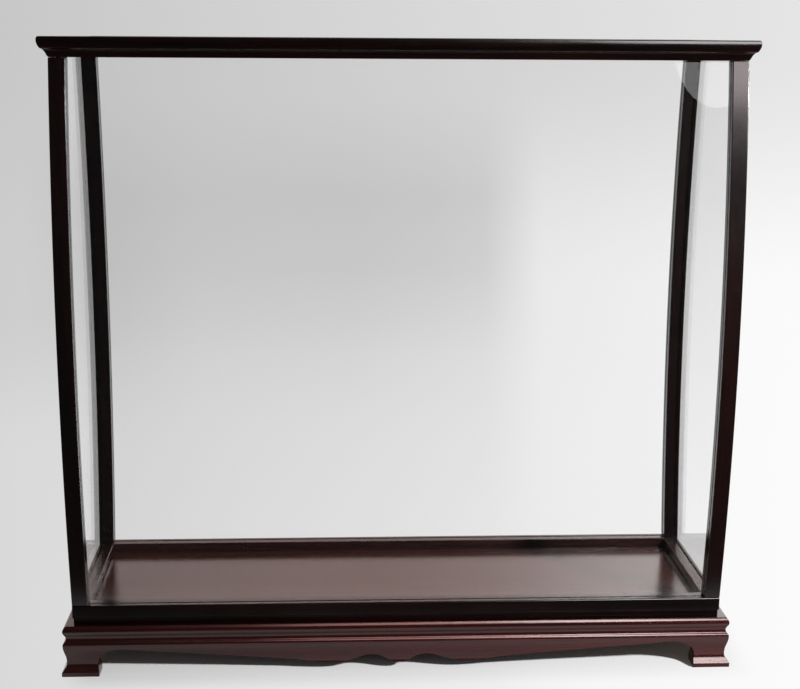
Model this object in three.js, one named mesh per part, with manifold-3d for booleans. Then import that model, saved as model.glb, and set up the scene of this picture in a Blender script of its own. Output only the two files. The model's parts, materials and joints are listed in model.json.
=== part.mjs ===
// A glazed table-top display case. A moulded base on bracket feet carries a deck, a cover
// of bowed posts and clear panes stands over the deck, and a crown with a clear top closes
// the cover. The cover lifts off the base, and the crown lifts off the cover.
// Millimetres. X runs along the case, Y from the front (-) to the rear (+), Z up from the floor.
import * as THREE from "three";
import { mergeVertices } from "three/addons/utils/BufferGeometryUtils.js";
import Module from "manifold-3d";

// Case
const caseLength = 914; // over the posts, left to right
const caseDepth = 273; // over the posts at their ends, front to rear
const postSection = 22; // square posts; the rails and the crown are as wide
const postLength = 750;
const bow = 28; // how far a post's middle stands out from its ends
const railHeight = 18.4;

// Panes
const paneThickness = 2.5;
const grooveDepth = 5; // how deep a pane's edge sits in wood
const frontPaneInset = 9; // a post's outer face to the middle of the front or rear pane
const sidePaneInset = 6; // the case's end to the middle of a side pane

// Crown, a mitred moulding: out is measured from the posts' faces, up from its underside
const crownHeight = 26.5;
const crownProjection = 12;
const crownNoseUp = 21.5; // the height at which it projects most
const crownQuirkUp = 10.6; // the little step between its nose and its cove
const crownQuirkOut = 8.3;
const crownQuirkStep = 1.8;
const crownQuirkLift = 0.6;
const crownLip = 9; // where the top starts to round over
const crownInset = 0.6; // its underside stands back this much from the posts' faces
const crownFilletOut = 1.2; // the sloping edge along its underside
const crownFilletUp = 2.4;
const crownHollow = 3.2; // how far out the cove's handle lies
const topPaneThickness = 3;
const topPaneDrop = 2; // the top pane lies this far below the crown's top
const rebateWidth = 8;

// Base moulding and feet: out is measured from the posts' faces, up from the floor
const baseHeight = 73;
const apronStock = 30; // from the feet's face to the board's inner face
const padProjection = 14.9;
const padHeight = 6.6;
const padArris = 0.6;
const waistProjection = 8.4; // the narrowest place, above the pad
const waistUp = 20.5;
const lowerNoseProjection = 12.8;
const lowerNoseDrop = 27.4; // below the base's top, as the next four are
const lowerNoseRise = 4.2; // its rounding, up to the cove
const coveProjection = 8.7;
const coveDrop = 18;
const upperNoseProjection = 12.6;
const upperNoseDrop = 7.5;
const baseLip = 8.6; // where the base's top starts to round over

// Scroll-cut lower edge of the long aprons, and the plainer arch of the short ones
const footLength = 51.6; // at the floor
const footFlare = 1.7; // how much shorter a foot is where the arch springs from it
const archSpring = 18;
const archRun = 31; // how far the arch takes to reach its top
const archTop = 39;
const archEaseUp = 9; // its curve's handles end this far below the top,
const archEaseIn = 13; // and this far inside the foot
const lobeX = 92; // the low lobes beside the centre
const lobeUp = 14.6;
const lobeRun = 50; // the lobe's own curve, on its outer side
const lobeRise = 4.25; // how far that curve climbs
const cuspX = 39.5; // the two raised points between the lobes and the centre drop
const cuspUp = 25.1;
const centreUp = 14.2;
const sideCentreUp = 31;

// Deck and its support
const plinthHeight = 7.2;
const plinthSetback = 1.5; // from the cover's face
const plinthReveal = 0.2; // how far the plinth shows inside the cover's rails
const deckThickness = 11.5; // it stands up inside the cover's rails
const cleatSection = 15;
const blockSection = 18;
const blockLift = 2; // the glue blocks end above the floor

// Fasteners
const postScrew = { length: 45, shank: 4, head: 8, headHeight: 2.4, point: 4 };
const deckScrew = { length: 24, shank: 3, head: 6, headHeight: 1.8, point: 3 };
const deckScrewEnd = 157; // from the case's end to the screw's axis
const lidPinDiameter = 4;
const lidPinLength = 20;
const lidPinIn = 8; // how far a pin stands into the crown
const lidPinEnd = 14; // from the case's end to the pin's axis
const lidPinFace = 9.5; // from a post's outer face to the pin's axis
const coverPinDiameter = 6;
const coverPinLength = 24;
const coverPinIn = 7; // how far a pin stands into the cover's rail
const coverPinEnd = 57; // from the case's end to the pin's axis

// Clearances
const seam = 0.3; // at each glued or resting joint
const fit = 0.3; // round a pane, pin or screw in its groove or hole
const overrun = 1; // how far a cutting tool stands out of the wood

// How full the mouldings' curves are: the share of a curve's height that a handle takes up
const padEase = 0.55;
const padSpread = 1; // the pad's hollow starts this much wider than the waist
const cymaEase = 0.4;
const coveEase = 0.35;
const noseEase = 0.6;
const shoulderEase = 0.3;
const quirkEase = 0.77;

// Fineness of the curved faces
const bowSteps = 18;
const curveSteps = 4;
const roundSteps = 12;

// Worked out from the sizes above
const halfLength = caseLength / 2;
const halfDepth = caseDepth / 2;
const postFoot = railHeight + seam; // in the cover's own frame, as is postTop
const postTop = postFoot + postLength;
const coverLevel = baseHeight + seam + plinthHeight + seam; // the cover's frame over the floor
const lidLevel = postTop + seam; // the crown's frame over the cover's
const boardFace = padProjection - apronStock; // out of the aprons' inner face
const plinthInner = postSection + plinthReveal; // from the case's face inwards
const bowRadius = ((postLength / 2) ** 2 + bow ** 2) / (2 * bow);

const wasm = await Module();
wasm.setup();

const lacquer = { color: 0x1d0b0c, roughness: 0.28, metalness: 0 };
const redLacquer = { color: 0x3a1113, roughness: 0.3, metalness: 0 };
const satin = { color: 0x4a3430, roughness: 0.45, metalness: 0 };
const bareWood = { color: 0xb08a5c, roughness: 0.8, metalness: 0 };
const acrylic = { color: 0xf4f8f8, roughness: 0.04, metalness: 0, transparent: true, opacity: 0.18 };
const steel = { color: 0xa9a9a6, roughness: 0.35, metalness: 1 };

// Booleans

function solidOf(geometry) {
  const bare = new THREE.BufferGeometry();
  bare.setAttribute("position", geometry.getAttribute("position"));
  bare.setIndex(geometry.getIndex());
  const merged = mergeVertices(bare, 1e-4);
  return new wasm.Manifold(
    new wasm.Mesh({
      numProp: 3,
      vertProperties: merged.getAttribute("position").array,
      triVerts: new Uint32Array(merged.getIndex().array),
    }),
  );
}

function cut(geometry, tools) {
  let body = solidOf(geometry);
  for (const tool of tools) body = body.subtract(solidOf(tool));
  const mesh = body.getMesh();
  const indexed = new THREE.BufferGeometry();
  indexed.setAttribute("position", new THREE.BufferAttribute(mesh.vertProperties, 3));
  indexed.setIndex(new THREE.BufferAttribute(mesh.triVerts, 1));
  const flat = indexed.toNonIndexed();
  flat.computeVertexNormals();
  return flat;
}

// Basic forms

// Extrudes an outline one unit deep, and puts each corner where place(u, v, t) says.
function swept(outline, place) {
  const geometry = new THREE.ExtrudeGeometry(outline, {
    depth: 1,
    bevelEnabled: false,
    curveSegments: curveSteps,
  });
  const at = geometry.getAttribute("position");
  for (let i = 0; i < at.count; i++) {
    at.setXYZ(i, ...place(at.getX(i), at.getY(i), at.getZ(i)));
  }
  geometry.computeVertexNormals();
  return geometry;
}

// An outline in Y and Z, carried along X.
function alongX(outline, x0, x1) {
  return swept(outline, (y, z, t) => [x0 + (x1 - x0) * t, y, z]);
}

// An outline in X and Z, carried along Y.
function alongY(outline, y0, y1) {
  return swept(outline, (x, z, t) => [x, y1 + (y0 - y1) * t, z]);
}

function box([x0, x1], [y0, y1], [z0, z1]) {
  const geometry = new THREE.BoxGeometry(x1 - x0, y1 - y0, z1 - z0);
  return geometry.translate((x0 + x1) / 2, (y0 + y1) / 2, (z0 + z1) / 2);
}

function pin(diameter, z0, z1) {
  const geometry = new THREE.CylinderGeometry(diameter / 2, diameter / 2, z1 - z0, roundSteps);
  return geometry.rotateX(Math.PI / 2).translate(0, 0, (z0 + z1) / 2);
}

// A countersunk screw that points up, with its head's flat face at z = 0.
function screw({ length, shank, head, headHeight, point }, grow = 0) {
  const profile = [
    new THREE.Vector2(0, -grow),
    new THREE.Vector2(head / 2 + grow, -grow),
    new THREE.Vector2(head / 2 + grow, 0),
    new THREE.Vector2(shank / 2 + grow, headHeight + grow),
    new THREE.Vector2(shank / 2 + grow, length - point + grow),
    new THREE.Vector2(0, length + 2 * grow),
  ];
  const shown = grow ? profile : [profile[0], ...profile.slice(2)];
  return new THREE.LatheGeometry(shown, roundSteps).rotateX(Math.PI / 2);
}

// A moulding along one side of the case, mitred at both ends. Its profile is drawn out from
// the case's face and up, and the strip is made for the front side.
function mitred(profile, along, across) {
  return swept(profile, (out, up, t) => {
    const end = along + out - seam / 2;
    return [end * (1 - 2 * t), -(across + out), up];
  });
}

// The edge of a bowed post or pane, as points in Y and Z. side is -1 at the front and 1 at the
// rear, and inset is measured inwards from the posts' outer faces.
function bowAt(up) {
  return Math.sqrt(bowRadius ** 2 - (up - postLength / 2) ** 2) - (bowRadius - bow);
}

function bowedEdge(side, inset, z0, z1) {
  const points = [];
  for (let i = 0; i <= bowSteps; i++) {
    const z = z0 + ((z1 - z0) * i) / bowSteps;
    points.push(new THREE.Vector2(side * (halfDepth + bowAt(z - postFoot) - inset), z));
  }
  return points;
}

function bowedBand(side, inset0, inset1, z0, z1) {
  const outer = bowedEdge(side, inset0, z0, z1);
  const inner = bowedEdge(side, inset1, z0, z1).reverse();
  return new THREE.Shape([...outer, ...inner]);
}

function barrel(inset, z0, z1) {
  const front = bowedEdge(-1, inset, z0, z1);
  const rear = bowedEdge(1, inset, z0, z1).reverse();
  return new THREE.Shape([...front, ...rear]);
}

// Profiles

function baseProfile() {
  const lowerNose = baseHeight - lowerNoseDrop;
  const cove = baseHeight - coveDrop;
  const upperNose = baseHeight - upperNoseDrop;
  const shoulder = lowerNose + lowerNoseRise;
  const shoulderOut = (lowerNoseProjection + coveProjection) / 2;
  const hollow = (waistUp - padHeight) * padEase;
  const cyma = (lowerNose - waistUp) * cymaEase;
  const crest = (upperNose - cove) * coveEase;
  const s = new THREE.Shape();
  s.moveTo(boardFace, 0);
  s.lineTo(padProjection - padArris, 0);
  s.lineTo(padProjection, padArris);
  s.lineTo(padProjection, padHeight - padArris);
  s.lineTo(padProjection - padArris, padHeight);
  s.bezierCurveTo(
    waistProjection + padSpread, padHeight + hollow,
    waistProjection, waistUp - hollow, waistProjection, waistUp,
  );
  s.bezierCurveTo(
    waistProjection, waistUp + cyma,
    lowerNoseProjection, lowerNose - cyma, lowerNoseProjection, lowerNose,
  );
  s.quadraticCurveTo(
    lowerNoseProjection, lowerNose + lowerNoseRise * noseEase, shoulderOut, shoulder,
  );
  s.quadraticCurveTo(coveProjection, shoulder + lowerNoseRise * shoulderEase, coveProjection, cove);
  s.bezierCurveTo(
    coveProjection, cove + crest, upperNoseProjection, upperNose - crest, upperNoseProjection, upperNose,
  );
  s.quadraticCurveTo(
    upperNoseProjection, upperNose + upperNoseDrop * noseEase, baseLip, baseHeight,
  );
  s.lineTo(boardFace, baseHeight);
  return s;
}

function crownProfile() {
  const seat = crownHeight - topPaneDrop - topPaneThickness - seam;
  const cove = crownQuirkOut - crownQuirkStep;
  const s = new THREE.Shape();
  s.moveTo(-postSection, 0);
  s.lineTo(-crownInset, 0);
  s.lineTo(crownFilletOut, crownFilletUp);
  s.quadraticCurveTo(crownHollow, crownQuirkUp * quirkEase, cove, crownQuirkUp);
  s.lineTo(crownQuirkOut, crownQuirkUp + crownQuirkLift);
  s.quadraticCurveTo(
    crownProjection, (crownQuirkUp + crownNoseUp) / 2, crownProjection, crownNoseUp,
  );
  s.quadraticCurveTo(crownProjection, crownHeight, crownLip, crownHeight);
  s.lineTo(rebateWidth - postSection, crownHeight);
  s.lineTo(rebateWidth - postSection, seat);
  s.lineTo(-postSection, seat);
  return s;
}

// What is sawn out of an apron, from the floor up to its lower edge. edge is the X of a foot's
// inner side at the floor, and draw adds the curve from the left arch's end to the right arch's
// start.
function sawnOut(edge, draw) {
  const s = new THREE.Shape();
  const spring = edge + footFlare;
  const easeUp = archTop - archEaseUp;
  s.moveTo(-edge, -overrun);
  s.lineTo(-edge, padHeight);
  s.lineTo(-spring, archSpring);
  s.bezierCurveTo(-spring, easeUp, -edge + archEaseIn, archTop, -edge + archRun, archTop);
  draw(s);
  s.lineTo(edge - archRun, archTop);
  s.bezierCurveTo(edge - archEaseIn, archTop, spring, easeUp, spring, archSpring);
  s.lineTo(edge, padHeight);
  s.lineTo(edge, -overrun);
  return s;
}

function scroll(s) {
  const half = (lobeX - cuspX) / 2;
  s.lineTo(-lobeX - lobeRun, lobeUp + lobeRise);
  s.quadraticCurveTo(-lobeX - lobeRun / 2, lobeUp, -lobeX, lobeUp);
  s.bezierCurveTo(-lobeX + half, lobeUp, -cuspX - half / 2, cuspUp, -cuspX, cuspUp);
  s.bezierCurveTo(-cuspX / 2, cuspUp, -cuspX / 2, centreUp, 0, centreUp);
  s.bezierCurveTo(cuspX / 2, centreUp, cuspX / 2, cuspUp, cuspX, cuspUp);
  s.bezierCurveTo(cuspX + half / 2, cuspUp, lobeX - half, lobeUp, lobeX, lobeUp);
  s.quadraticCurveTo(lobeX + lobeRun / 2, lobeUp, lobeX + lobeRun, lobeUp + lobeRise);
}

function sag(s) {
  const reach = halfDepth + padProjection - footLength - archRun;
  s.quadraticCurveTo(-reach / 2, sideCentreUp, 0, sideCentreUp);
  s.quadraticCurveTo(reach / 2, sideCentreUp, reach, archTop);
}

// The four sides of the case. A side's pieces are made as for the front and turned into place.
const sides = [
  { name: "front", turn: 0, along: halfLength, across: halfDepth, long: true },
  { name: "right", turn: Math.PI / 2, along: halfDepth, across: halfLength, long: false },
  { name: "rear", turn: Math.PI, along: halfLength, across: halfDepth, long: true },
  { name: "left", turn: -Math.PI / 2, along: halfDepth, across: halfLength, long: false },
];

const corners = [
  { name: "front_left", x: -1, y: -1 },
  { name: "front_right", x: 1, y: -1 },
  { name: "rear_left", x: -1, y: 1 },
  { name: "rear_right", x: 1, y: 1 },
];

function add(group, name, geometry, finish) {
  const mesh = new THREE.Mesh(geometry, new THREE.MeshStandardMaterial(finish));
  mesh.name = name;
  group.add(mesh);
  return mesh;
}

// Base

const coverPinX = halfLength - coverPinEnd;
const coverPinY = halfDepth - (plinthSetback + plinthInner) / 2;
const coverPinFoot = coverLevel + coverPinIn - coverPinLength;

// Holes for the cover's pins, in the frame of a side's own pieces.
function coverPinHoles(z0, z1) {
  return [-coverPinX, coverPinX].map((x) => {
    return pin(coverPinDiameter + 2 * fit, z0, z1).translate(x, -coverPinY, 0);
  });
}

function apron({ along, across, long }) {
  const blank = mitred(baseProfile(), along, across);
  const inside = across + boardFace;
  const edge = along + padProjection - footLength;
  const outline = sawnOut(edge, long ? scroll : sag);
  const sawn = alongY(outline, -across - padProjection - overrun, overrun - inside);
  const holes = long ? coverPinHoles(coverPinFoot - fit, baseHeight + overrun) : [];
  return cut(blank, [sawn, ...holes]);
}

function plinth({ along, across, long }) {
  const foot = baseHeight + seam;
  const top = foot + plinthHeight;
  const profile = new THREE.Shape([
    new THREE.Vector2(-plinthSetback, foot),
    new THREE.Vector2(-plinthSetback, top),
    new THREE.Vector2(-plinthInner, top),
    new THREE.Vector2(-plinthInner, foot),
  ]);
  const holes = long ? coverPinHoles(foot - overrun, top + overrun) : [];
  return cut(mitred(profile, along, across), holes);
}

const boardLength = halfLength + boardFace - seam; // half the room between the aprons
const boardDepth = halfDepth + boardFace - seam;
const cleatFoot = baseHeight - cleatSection;
const deckFoot = baseHeight + seam;
const deckLength = halfLength - plinthInner - seam;
const deckDepth = halfDepth - plinthInner - seam;
const deckScrewX = halfLength - deckScrewEnd;
const deckScrewY = (boardDepth - cleatSection + deckDepth) / 2;

function cleat(long) {
  const end = long ? boardLength : boardDepth - cleatSection - seam;
  const face = long ? boardDepth : boardLength;
  const wood = box([-end, end], [-face, cleatSection - face], [cleatFoot, baseHeight]);
  if (!long) return wood;
  return cut(
    wood,
    [-deckScrewX, deckScrewX].map((x) => {
      return screw(deckScrew, fit).translate(x, -deckScrewY, cleatFoot);
    }),
  );
}

function deckPanel() {
  const levels = [deckFoot, deckFoot + deckThickness];
  const panel = box([-deckLength, deckLength], [-deckDepth, deckDepth], levels);
  const holes = corners.map(({ x, y }) => {
    return screw(deckScrew, fit).translate(x * deckScrewX, y * deckScrewY, cleatFoot);
  });
  return cut(panel, holes);
}

function buildBase() {
  const base = new THREE.Group();
  for (const side of sides) {
    add(base, `apron_${side.name}`, apron(side), redLacquer).rotation.z = side.turn;
    add(base, `plinth_${side.name}`, plinth(side), lacquer).rotation.z = side.turn;
    add(base, `deck_cleat_${side.name}`, cleat(side.long), bareWood).rotation.z = side.turn;
  }
  add(base, "deck_panel", deckPanel(), satin);
  for (const { name, x, y } of corners) {
    const half = blockSection / 2;
    const blockTop = cleatFoot - seam;
    const block = box([-half, half], [-half, half], [blockLift, blockTop]);
    add(base, `foot_block_${name}`, block, bareWood).position.set(
      x * (boardLength - half), y * (boardDepth - half), 0,
    );
    add(base, `deck_screw_${name}`, screw(deckScrew), steel).position.set(
      x * deckScrewX, y * deckScrewY, cleatFoot,
    );
    const peg = pin(coverPinDiameter, coverPinFoot, coverPinFoot + coverPinLength);
    add(base, `cover_pin_${name}`, peg, bareWood).position.set(x * coverPinX, y * coverPinY, 0);
  }
  return base;
}

// Cover

const inner = halfDepth - postSection; // the rails' inner face
const paneFoot = railHeight - grooveDepth + fit;
const paneTop = lidLevel + grooveDepth - fit;
const frontPaneEnd = halfLength - postSection + grooveDepth - fit;
const sidePaneEdge = postSection - grooveDepth + fit; // inset of its bowed edges
const sidePaneX = halfLength - sidePaneInset;
const screwEnd = halfLength - postSection / 2;
const screwFace = halfDepth - postSection / 2;
const lidPinX = halfLength - lidPinEnd;
const lidPinY = halfDepth - lidPinFace;

// A front or rear pane; grow widens it into the tool that cuts its grooves.
function longPane(side, grow = 0) {
  const half = paneThickness / 2 + grow;
  const outline = bowedBand(
    side, frontPaneInset - half, frontPaneInset + half, paneFoot - grow, paneTop + grow,
  );
  return alongX(outline, -frontPaneEnd - grow, frontPaneEnd + grow);
}

function sidePane(side, grow = 0) {
  const half = paneThickness / 2 + grow;
  const outline = barrel(sidePaneEdge - grow, paneFoot - grow, paneTop + grow);
  return alongX(outline, side * sidePaneX - half, side * sidePaneX + half);
}

function post({ x, y }) {
  const outline = bowedBand(y, 0, postSection, postFoot, postTop);
  const outer = x * halfLength;
  const edge = x * (halfLength - postSection);
  const blank = alongX(outline, Math.min(outer, edge), Math.max(outer, edge));
  const lidPinHole = pin(
    lidPinDiameter + 2 * fit, lidLevel + lidPinIn - lidPinLength - fit, postTop + overrun,
  );
  return cut(blank, [
    longPane(y, fit),
    sidePane(x, fit),
    screw(postScrew, fit).translate(x * screwEnd, y * screwFace, 0),
    lidPinHole.translate(x * lidPinX, y * lidPinY, 0),
  ]);
}

function longRail(side) {
  const faces = side < 0 ? [-halfDepth, -inner] : [inner, halfDepth];
  const blank = box([-halfLength, halfLength], faces, [0, railHeight]);
  const screws = [-1, 1].map((x) => {
    return screw(postScrew, fit).translate(x * screwEnd, side * screwFace, 0);
  });
  const pins = [-1, 1].map((x) => {
    const hole = pin(coverPinDiameter + 2 * fit, -overrun, coverPinIn + fit);
    return hole.translate(x * coverPinX, side * coverPinY, 0);
  });
  return cut(blank, [longPane(side, fit), sidePane(-1, fit), sidePane(1, fit), ...screws, ...pins]);
}

function sideRail(side) {
  const end = inner - seam;
  const outer = side * halfLength;
  const edge = side * (halfLength - postSection);
  const blank = box([Math.min(outer, edge), Math.max(outer, edge)], [-end, end], [0, railHeight]);
  return cut(blank, [sidePane(side, fit)]);
}

function buildCover() {
  const cover = new THREE.Group();
  add(cover, "rail_front", longRail(-1), lacquer);
  add(cover, "rail_rear", longRail(1), lacquer);
  add(cover, "rail_left", sideRail(-1), lacquer);
  add(cover, "rail_right", sideRail(1), lacquer);
  add(cover, "pane_front", longPane(-1), acrylic);
  add(cover, "pane_rear", longPane(1), acrylic);
  add(cover, "pane_left", sidePane(-1), acrylic);
  add(cover, "pane_right", sidePane(1), acrylic);
  for (const corner of corners) {
    const { name, x, y } = corner;
    add(cover, `post_${name}`, post(corner), lacquer);
    add(cover, `post_screw_${name}`, screw(postScrew), steel).position.set(
      x * screwEnd, y * screwFace, 0,
    );
    const pinTop = lidLevel + lidPinIn;
    const peg = pin(lidPinDiameter, pinTop - lidPinLength, pinTop);
    add(cover, `lid_pin_${name}`, peg, steel).position.set(x * lidPinX, y * lidPinY, 0);
  }
  cover.position.z = coverLevel;
  return cover;
}

// Crown, which lifts off: its grooves are straight-sided, so that they draw off the panes

function crown({ along, across, long }) {
  const blank = mitred(crownProfile(), along, across);
  const depth = grooveDepth + fit;
  const edge = long ? frontPaneInset : sidePaneInset;
  const lean = long ? bowAt(postLength) - bowAt(postLength + grooveDepth) : 0;
  const half = paneThickness / 2 + fit;
  const end = long ? frontPaneEnd + fit : inner + grooveDepth;
  const faces = [edge - half - across, edge + half + lean - across];
  const groove = box([-end, end], faces, [-overrun, depth]);
  const pinX = long ? lidPinX : lidPinY;
  const pinY = long ? lidPinY : lidPinX;
  const holes = [-1, 1].map((x) => {
    return pin(lidPinDiameter + 2 * fit, -overrun, lidPinIn + fit).translate(x * pinX, -pinY, 0);
  });
  return cut(blank, [groove, ...holes]);
}

function buildLid() {
  const lid = new THREE.Group();
  for (const side of sides) {
    add(lid, `crown_${side.name}`, crown(side), lacquer).rotation.z = side.turn;
  }
  const seat = crownHeight - topPaneDrop - topPaneThickness;
  const x = halfLength - postSection + rebateWidth - fit;
  const y = halfDepth - postSection + rebateWidth - fit;
  add(lid, "pane_top", box([-x, x], [-y, y], [seat, seat + topPaneThickness]), acrylic);
  lid.position.z = lidLevel;
  return lid;
}

const displayCase = new THREE.Group();
const cover = buildCover();
cover.add(buildLid());
displayCase.add(buildBase(), cover);

export default displayCase;
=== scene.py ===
"""Looks of a glazed table-top display case: a moulded base on bracket feet, a deck, a cover of
bowed posts and clear panes, and a moulded crown with a clear top. Metres, Z up from the floor,
X along the case, Y from the front to the rear. The larger sizes are read from the frame."""
import json
import math

import bmesh
import bpy
from mathutils import Matrix, Vector

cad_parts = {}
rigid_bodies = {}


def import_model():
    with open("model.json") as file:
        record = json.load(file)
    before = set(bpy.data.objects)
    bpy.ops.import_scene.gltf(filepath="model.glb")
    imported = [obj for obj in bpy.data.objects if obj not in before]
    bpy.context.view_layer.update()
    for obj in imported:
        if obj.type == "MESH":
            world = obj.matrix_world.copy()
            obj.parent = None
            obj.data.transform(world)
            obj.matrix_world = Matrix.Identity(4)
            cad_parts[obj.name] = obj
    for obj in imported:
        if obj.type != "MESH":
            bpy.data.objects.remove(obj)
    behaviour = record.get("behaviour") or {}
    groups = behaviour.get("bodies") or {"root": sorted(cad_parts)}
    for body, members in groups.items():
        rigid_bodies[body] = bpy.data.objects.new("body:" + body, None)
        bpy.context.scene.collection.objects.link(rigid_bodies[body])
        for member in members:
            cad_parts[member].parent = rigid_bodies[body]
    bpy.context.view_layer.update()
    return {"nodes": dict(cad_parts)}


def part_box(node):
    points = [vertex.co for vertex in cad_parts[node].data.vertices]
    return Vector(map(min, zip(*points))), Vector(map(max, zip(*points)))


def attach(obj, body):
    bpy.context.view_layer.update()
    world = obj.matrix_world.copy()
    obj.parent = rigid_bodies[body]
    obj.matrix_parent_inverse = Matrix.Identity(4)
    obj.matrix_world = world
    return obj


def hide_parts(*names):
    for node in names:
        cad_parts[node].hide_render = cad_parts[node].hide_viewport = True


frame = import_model()

MM = 0.001

# Sizes that the frame gives


def low(name):
    """The low corner of a CAD piece's box."""
    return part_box(name)[0]


def high(name):
    """The high corner of a CAD piece's box."""
    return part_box(name)[1]


HALF_LENGTH = high("rail_front").x
HALF_DEPTH = high("rail_rear").y
POST = HALF_LENGTH - low("post_front_right").x  # a post's width
BOW = high("post_rear_right").y - HALF_DEPTH  # how far a post's middle stands out from its ends
PLINTH_FOOT, PLINTH_TOP = low("plinth_front").z, high("plinth_front").z
RAIL_FOOT, RAIL_TOP = low("rail_front").z, high("rail_front").z
POST_FOOT, POST_TOP = low("post_front_right").z, high("post_front_right").z
CROWN_FOOT = low("crown_front").z
PANE_FOOT, PANE_TOP = low("pane_front").z, high("pane_front").z
PANE_END = high("pane_front").x
PANE = high("pane_right").x - low("pane_right").x  # a pane's thickness
SIDE_PANE_X = (high("pane_right").x + low("pane_right").x) / 2
SIDE_PANE_INSET = HALF_LENGTH - SIDE_PANE_X  # the case's end to the middle of a side pane
POST_LENGTH = POST_TOP - POST_FOOT
BOW_RADIUS = ((POST_LENGTH / 2) ** 2 + BOW**2) / (2 * BOW)

# Sizes inside the frame's pieces

SEAM = 0.3 * MM  # at each glued or resting joint
FIT = 0.3 * MM  # round a pane or a pin
GROOVE = 5 * MM
FRONT_PANE_INSET = 9 * MM  # a post's outer face to the middle of the front or rear pane
SIDE_PANE_EDGE = POST - GROOVE + FIT  # inset of a side pane's bowed edges
BOW_STEPS = 48
CURVE_STEPS = 10
ARRIS = 1.1 * MM  # rounding of the posts' and rails' edges
RAIL_ARRIS = 1.9 * MM  # rounding along the rails' upper outer edge
POST_END = 1.2 * MM  # rounding round the posts' ends
POST_END_STEPS = 4
SHARP_ARRIS = 0.35 * MM  # rounding of the mouldings' corners
SAWN_ARRIS = 0.8 * MM  # rounding of the aprons' sawn edges
DECK_ARRIS = 0.8 * MM
PANE_ARRIS = 0.25 * MM
SHARP = 36  # degrees: soften rounds an edge that turns more than this
VERY_SHARP = 50  # the same, on the posts, rails and bent panes

# Base moulding and feet, in millimetres: out from the posts' faces, up from the floor. An ease is
# how long a curve's handle is, as a share of what it spans.
PAD_OUT, PAD_UP, PAD_ARRIS = 14.9, 6.6, 0.6
APRON_STOCK = 30  # from the foot's face to the board's inner face
WAIST_OUT, WAIST_UP = 8.4, 20.5
LOWER_NOSE_OUT, LOWER_NOSE_UP, LOWER_NOSE_RISE = 12.8, 45.6, 4.2
COVE_OUT, COVE_UP = 8.7, 55
UPPER_NOSE_OUT, UPPER_NOSE_UP = 12.6, 65.5
LIP_OUT, LIP_UP = 8.6, 73
PAD_SPREAD = 1  # how far out the handle above the pad stands
PAD_EASE, CYMA_EASE, COVE_EASE, NOSE_EASE, SHOULDER_EASE = 0.55, 0.4, 0.35, 0.6, 0.3

# Sawn lower edges of the aprons, in millimetres: along from the middle, up from the floor
FOOT_LENGTH, FOOT_FLARE, ARCH_SPRING, ARCH_RUN, ARCH_TOP = 51.6, 1.7, 18, 31, 39
ARCH_EASE_UP, ARCH_EASE_IN = 9, 13
LOBE_X, LOBE_UP, LOBE_RUN, LOBE_RISE = 92, 14.6, 50, 4.25
CUSP_X, CUSP_UP, CENTRE_UP, SIDE_CENTRE_UP = 39.5, 25.1, 14.2, 31
OVERRUN = 1  # how far a cutting tool stands out of the wood
SAWN_FROM, SAWN_TO = 2, ARCH_TOP + 1  # the heights between which all sawn faces have their middles
SQUARE = 0.01  # how near to square with its board a sawn face is

# Crown, in millimetres: out from the posts' faces, up from its underside
CROWN_OUT, CROWN_INSET, CROWN_LIP, CROWN_NOSE_UP, CROWN_UP = 12, 0.6, 9, 21.5, 26.5
QUIRK_UP, QUIRK_OUT, QUIRK_STEP, QUIRK_LIFT, QUIRK_EASE = 10.6, 8.3, 1.8, 0.6, 0.77
FILLET_OUT, FILLET_UP = 1.2, 2.4  # the sloping edge along its underside
HOLLOW = 3.2  # how far out the handle of the cove above that edge lies
TOP_SEAT, REBATE = 21.2, 8

# Plinth
PLINTH_SETBACK = 1.5 * MM
PLINTH_INNER = POST + 0.2 * MM

SIDE_NAME = {-1: "left", 1: "right"}
END_NAME = {-1: "front", 1: "rear"}
CORNERS = [(x, y) for y in END_NAME for x in SIDE_NAME]
SIDES = [  # name, how far it is turned from the front, half its length, how far out it lies
    ("front", 0, HALF_LENGTH, HALF_DEPTH),
    ("right", math.pi / 2, HALF_DEPTH, HALF_LENGTH),
    ("rear", math.pi, HALF_LENGTH, HALF_DEPTH),
    ("left", -math.pi / 2, HALF_DEPTH, HALF_LENGTH),
]


def long_side(name):
    return name in END_NAME.values()


def grain_axis(name):
    """The way a side's grain runs: 0 along X, 1 along Y."""
    return 0 if long_side(name) else 1


def end_corners(name):
    """The corners at the ends of a long side, where its pins are. A short side has none."""
    return [(x, y) for x, y in CORNERS if END_NAME[y] == name]


# Outlines


class Outline:
    """A closed outline, drawn with straight lines and Bezier curves."""

    def __init__(self, x, y):
        self.points = [(x, y)]

    def line(self, *points):
        self.points.extend(points)
        return self

    def curve(self, *handles, steps=CURVE_STEPS):
        """A Bezier curve from the last point; its last handle is where it ends."""
        start = [Vector(p) for p in (self.points[-1], *handles)]
        for i in range(1, steps + 1):
            row = start
            while len(row) > 1:
                row = [a.lerp(b, i / steps) for a, b in zip(row, row[1:])]
            self.points.append(tuple(row[0]))
        return self

    def scaled(self, factor=MM):
        return [(u * factor, v * factor) for u, v in self.points]


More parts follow.
